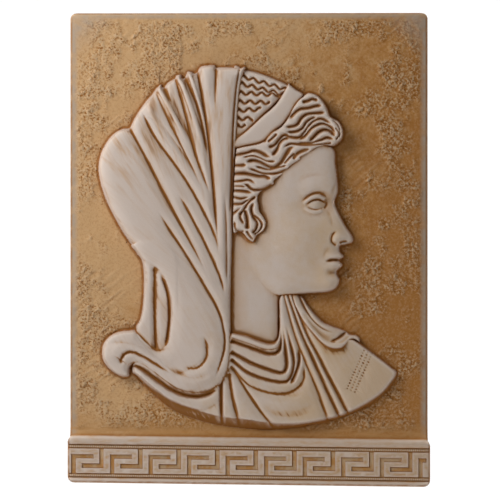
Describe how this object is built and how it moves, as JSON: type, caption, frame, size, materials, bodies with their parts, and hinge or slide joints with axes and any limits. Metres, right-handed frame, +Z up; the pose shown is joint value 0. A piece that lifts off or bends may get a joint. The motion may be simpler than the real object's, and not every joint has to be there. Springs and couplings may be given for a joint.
{
  "type": "relief plaque",
  "caption": "Rectangular cast wall plaque with a veiled head in profile in low relief above a projecting fret band; hangs on a nail by a recess in its back.",
  "frame": {"origin": "centre of the flat back, where the plaque lies against the wall", "axes": "+Z up, +X to the viewer's right, the carved front faces -Y and the flat back faces +Y"},
  "size_m": [0.238, 0.0274, 0.31],
  "materials": {
    "plaster": "matt cast plaster, cream with a tan and brown patina rubbed into its hollows"
  },
  "bodies": {
    "root": {"relief_plaque": "plaster"}
  },
  "joints": []
}
